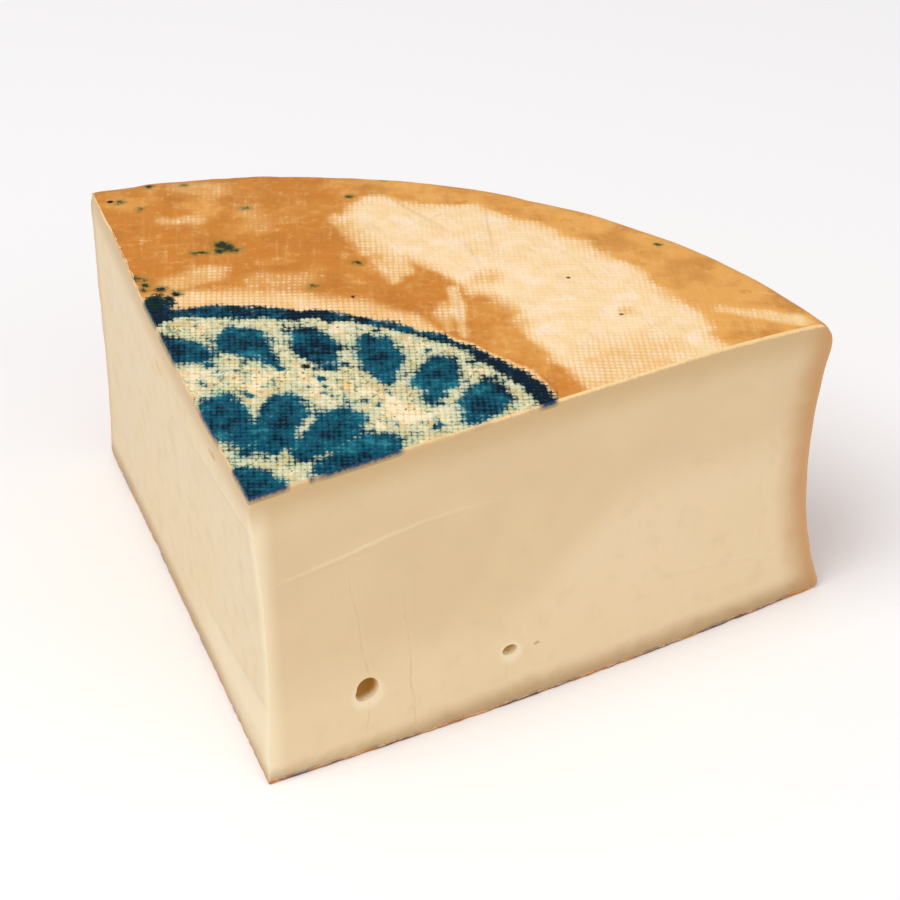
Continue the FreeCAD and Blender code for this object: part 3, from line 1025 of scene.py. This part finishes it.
def below_skin(spots):
    """How far each spot lies below the top rind and inside the heel rind."""
    slope = TOP_SLOPE * (spots[:, 1] - WHEEL_AXIS[1])
    out_of_axis = np.hypot(spots[:, 0] - WHEEL_AXIS[0], spots[:, 1] - WHEEL_AXIS[1])
    level = spots[:, 2] - slope
    lean_x = WHEEL_AXIS[0] + LEAN[0] * (1 - level / WHEEL_HEIGHT)
    lean_y = WHEEL_AXIS[1] + LEAN[1] * (1 - level / WHEEL_HEIGHT)
    heel_depth = heel_radius(level) - np.hypot(spots[:, 0] - lean_x, spots[:, 1] - lean_y)
    return top_height(out_of_axis) - level, heel_depth


def top_relief(spots, worn, raised, printed):
    """How deep the cloth, the press, the creases, the pit and the dots sink the top rind."""
    flat = spots * (1, 1, 0)
    bare = eased(worn, 0.1, 0.5) * (1 - 0.8 * eased(worn, 0.85, 1.0))
    cloth = (CLOTH_SMEARED + CLOTH_BARE * bare) * printed * (1 - raised)
    rough = 0.4 + 0.6 * eased(flat[:, 1] - 0.4 * flat[:, 0], 70, 110)
    sunk = cloth + PRESS_BROAD * folds(spots, 26.0, 8.8)
    sunk += rough * (PRESS_FINE * folds(spots, 9.0, 9.9) + PRESS_ROUGH * folds(spots, 3.4, 5.9))
    crease = np.zeros(len(spots))
    for x0, y0, x1, y1, half, much in CREASES:
        off, share = off_line(flat[:, :2] + 0.5 * grain(flat, 7.0, 1.7)[:, None], x0, y0, x1, y1)
        along = np.sin(np.pi * np.clip(share, 0.04, 0.96)) ** 0.5
        sunk += much * np.exp(-(off / half) ** 2) * along
        crease = np.maximum(crease, np.minimum(2.2 * much, 1) * (1 - eased(off, 0.2, 1.3 * half)) * along)
    pit = np.hypot(flat[:, 0] - PIT[0], flat[:, 1] - PIT[1])
    sunk += PIT_DEPTH * np.exp(-(pit / PIT[2]) ** 2) - PIT_LIP * np.exp(-((pit - 1.7 * PIT[2]) / 0.9) ** 2)
    sunk += DOT_DEPTH * eased(spotted(flat, DOTS), -0.6, 0.2)
    return sunk - GIVEN_BACK * eased(WHEEL_HEIGHT - spots[:, 2], 0.2, 1.4), crease


def side_relief(spots, blank, on_top, depth, heel_depth):
    """How deep the folds of the heel, the swells of the cuts, their crumbled rims and the foot sink."""
    side = (1 - on_top) * (1 - eased(heel_depth, 0.5, 2.5))
    creased = HEEL_FOLDS * folds(spots * (1, 1, 2.2), 16.0, 6.1) + HEEL_WRINKLES * folds(spots, 5.0, 6.6)
    sunk = side * (creased - GIVEN_BACK)
    cut = (1 - on_top) * (1 - side) * eased(spots[:, 2], 0.2, 2.0)
    sunk += cut * CUT_SWELLS * folds(spots * (1, 1, 0.35), 8.0, 2.2)
    behind_front, behind_left = behind_cuts(blank)
    crumbly = 1 - eased(np.minimum(behind_front + 0.8, behind_left), 0.3, 1.9)
    crumbly *= 1 - eased(depth, 0.3, 1.9)
    sunk += crumbly * CRUMBLED * eased(grain(spots, 2.6, 7.9) + 0.5 * grain(spots, 1.2, 8.9), -0.1, 0.8)
    ragged = (1 - eased(spots[:, 2], 0.3, 1.6)) * (heel_depth > 1.0)
    sunk += ragged * RAGGED * eased(grain(spots, 3.2, 1.9) + 0.5 * grain(spots, 1.3, 3.9), -0.3, 0.9)
    flat = spots * (1, 1, 0)
    by_rim = np.exp(-(np.minimum(heel_depth, depth + 12) / 14) ** 2) * eased(spots[:, 2], 55, 84)
    by_rim *= 0.2 + 0.3 * eased(flat[:, 1] - flat[:, 0], 0, 90)
    return sunk + by_rim * eased(grain(flat, 17.0, 3.3) + 0.4 * grain(flat, 7.0, 4.3), -0.6, 0.7)


def press_in(mesh, spots, sunk):
    """Turns the spots into the part's frame and sinks them inward, kept inside the part's box."""
    x, y, z = spots.T
    turned = np.column_stack([x * math.cos(TURN) - y * math.sin(TURN) + SHIFT[0],
                              x * math.sin(TURN) + y * math.cos(TURN) + SHIFT[1], z])
    mesh.vertices.foreach_set("co", (turned * MM).ravel())
    mesh.update()
    facing = numbers(mesh.vertex_normals, "vector", 3)
    on_base = z < 0.05
    facing[on_base, 2] = 0
    turned -= facing * sunk[:, None]
    low, high = np.array(cad_box[0]) / MM, np.array(cad_box[1]) / MM
    turned = np.clip(turned, low + 0.01, high - 0.01)
    turned[on_base, 2] = low[2]
    mesh.vertices.foreach_set("co", (turned * MM).ravel())


def keep_threads(mesh, spots, counts, upright):
    """Keeps the thread counts as a UV map; on the side of the heel they go round it and up."""
    corners = numbers(mesh.loops, "vertex_index", 1).astype(int)
    counts = counts[corners]
    x, y, z = spots[corners].T
    counts[upright, 0] = np.arctan2(y, x)[upright] * WHEEL_RADIUS / THREAD_PITCHES[0]
    counts[upright, 1] = z[upright] / THREAD_PITCHES[1]
    mesh.uv_layers.new(name="threads").data.foreach_set("uv", counts.ravel())


def rind_fields(spots, on_top, worn, crease, printed):
    """What the rind's finish reads at each vertex."""
    flat = spots * (1, 1, 0)
    drops = 6.0 * (grain(flat, 2.4, 6.7) + 0.2 * grain(flat, 14.0, 7.7) - 0.5)
    ink = np.maximum(stamp(flat), np.where(stamped(flat) > 0.9, drops, FAR_OUT))
    thick = eased(flat[:, 0] + 10 * grain(flat, 30.0, 2.6), 118, 92) - eased(flat[:, 0], 142, 152)
    mould = spotted(flat, MOULD) + 0.8 * grain(flat, 1.6, 4.4)
    return {
        "ink": np.where(on_top > 0, ink, FAR_OUT),
        "worn": worn * on_top,
        "thick": thick * on_top + 0.9 * (1 - on_top) * grain(spots, 45.0, 2.6),
        "crease": crease * on_top,
        "pooled": pooled(flat),
        "stamped": stamped(flat) * on_top,
        "mould": np.where(on_top > 0.5, mould, FAR_OUT),
        "dots": np.where(on_top > 0.5, spotted(flat, DOTS), FAR_OUT),
        "printed": np.maximum(printed * on_top, 0.45 * (1 - on_top)),
    }


def cut_fields(spots, blank, depth, heel_depth):
    """What the finish of the cut faces reads at each vertex."""
    behind_front, behind_left = behind_cuts(blank)
    on_left = behind_left < behind_front
    near_eye = np.full(len(spots), -FAR_OUT)
    # Distance from the large front eyes, centred a little below each, for the painted light on their lower
    # rims
    for along, height, length, width, *_ in FRONT_EYES[:3]:
        off = np.hypot(spots[:, 0] - along, spots[:, 2] - height + 0.3 * width)
        near_eye = np.minimum(near_eye, off - 0.25 * (length + width))
    return {
        "depth": depth,
        "height": spots[:, 2],
        "heel": heel_depth,
        "point": np.hypot(spots[:, 0], spots[:, 1]),
        # depth into an eye, read for its painted shade
        "hollow": np.minimum(behind_front, behind_left),
        "left_cut": eased(behind_front - behind_left, -0.5, 0.5),
        "near_eye": np.where(on_left, -FAR_OUT, near_eye),
        "along_cut": np.where(on_left, spots @ np.array(ALONG_LEFT), spots[:, 0]),
        **cut_marks(spots, on_left),
    }


def model_cheese():
    """The whole wedge as one closed mesh, with its print, creases and finishes."""
    cheese = drum_wedge()
    open_eyes(cheese)
    slice_up(cheese)
    mesh = cheese.data
    blank = numbers(mesh.vertices, "co", 3) / MM
    rind, upright = find_rind(mesh)

    spots = true_form(blank)
    flat = spots * (1, 1, 0)
    depth, heel_depth = below_skin(spots)
    on_top = 1 - eased(depth, *TOP_ENDS)
    worn = wear(flat)
    printed = 1 - eased(np.hypot(*blank[:, :2].T), *PRINT_ENDS)
    counts = thread_counts(flat)

    sunk, crease = top_relief(spots, worn, pillows(counts), printed)
    press_in(mesh, spots, sunk * on_top + side_relief(spots, blank, on_top, depth, heel_depth))
    keep_threads(mesh, spots, counts, upright)
    fields = rind_fields(spots, on_top, worn, crease, printed)
    fields.update(cut_fields(spots, blank, depth, heel_depth))
    for name, values in fields.items():
        kept = mesh.attributes.new(name, "FLOAT", "POINT")
        kept.data.foreach_set("value", np.asarray(values, np.float32))

    mesh.materials.clear()
    mesh.materials.append(washed_rind())
    mesh.materials.append(cut_paste())
    mesh.polygons.foreach_set("material_index", (~rind).astype(int))
    mesh.update()
    choose(cheese)
    bpy.ops.object.shade_smooth_by_angle(angle=SHADED)
    return cheese


# ---------------------------------------------------------------- studio

# Floor, surroundings and lamps, in metres and watts
FLOOR_WIDTH = 8.0
SKY = (0.97, 0.975, 1.0, 1.0)
SKY_LEVEL = 0.62
LAMPS = (
    # name, place, aim, width, power
    ("key", (-0.35, -0.8, 1.65), (0, 0, 0.04), 1.3, 17.5),
    ("fill", (1.5, -0.6, 0.9), (0, 0, 0.04), 1.2, 4.5),
)

# Camera: where it stands in the part's frame, which way it looks, its lens and sensor
CAMERA_SPOT = (288.82, -658.92, 511.08)
CAMERA_TURN = math.radians(22.193)
CAMERA_TILT = math.radians(32.626)
CAMERA_ROLL = math.radians(-1.741)
LENS = 121.34
SENSOR = 36.0


def studio():
    """Floor, pale surroundings, a broad key from above the camera's left and a soft fill."""
    bpy.ops.object.select_all(action="DESELECT")
    bpy.ops.mesh.primitive_plane_add(size=FLOOR_WIDTH, location=(0, 0, 0))
    floor = bpy.context.object
    floor.name = "studio_floor"
    floor.data.materials.append(floor_finish())

    world = bpy.data.worlds.new("studio")
    bpy.context.scene.world = world
    world.use_nodes = True
    background = world.node_tree.nodes["Background"]
    background.inputs["Color"].default_value = SKY
    background.inputs["Strength"].default_value = SKY_LEVEL

    for name, spot, aim, width, power in LAMPS:
        lamp = bpy.data.lights.new(name, "AREA")
        lamp.shape = "DISK"
        lamp.size = width
        lamp.energy = power
        stand = bpy.data.objects.new(name, lamp)
        stand.location = spot
        stand.rotation_euler = (Vector(aim) - Vector(spot)).to_track_quat("-Z", "Y").to_euler()
        bpy.context.scene.collection.objects.link(stand)


def camera():
    """Camera at its spot, turned, tilted and rolled."""
    lens = bpy.data.cameras.new("camera")
    lens.lens = LENS
    lens.sensor_width = SENSOR
    lens.clip_start = 0.01
    stand = bpy.data.objects.new("camera", lens)
    stand.location = Vector(CAMERA_SPOT) * MM
    stand.rotation_mode = "QUATERNION"
    flat = math.cos(CAMERA_TILT)
    back = Vector((math.sin(CAMERA_TURN) * flat, -math.cos(CAMERA_TURN) * flat, math.sin(CAMERA_TILT)))
    facing = back.to_track_quat("Z", "Y")
    stand.rotation_quaternion = facing @ Quaternion((0, 0, 1), CAMERA_ROLL)
    bpy.context.scene.collection.objects.link(stand)
    bpy.context.scene.camera = stand


bpy.context.scene.view_settings.view_transform = "Standard"
camera()
studio()
cheese = model_cheese()
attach(cheese, "root")
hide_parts("cheese_wedge")
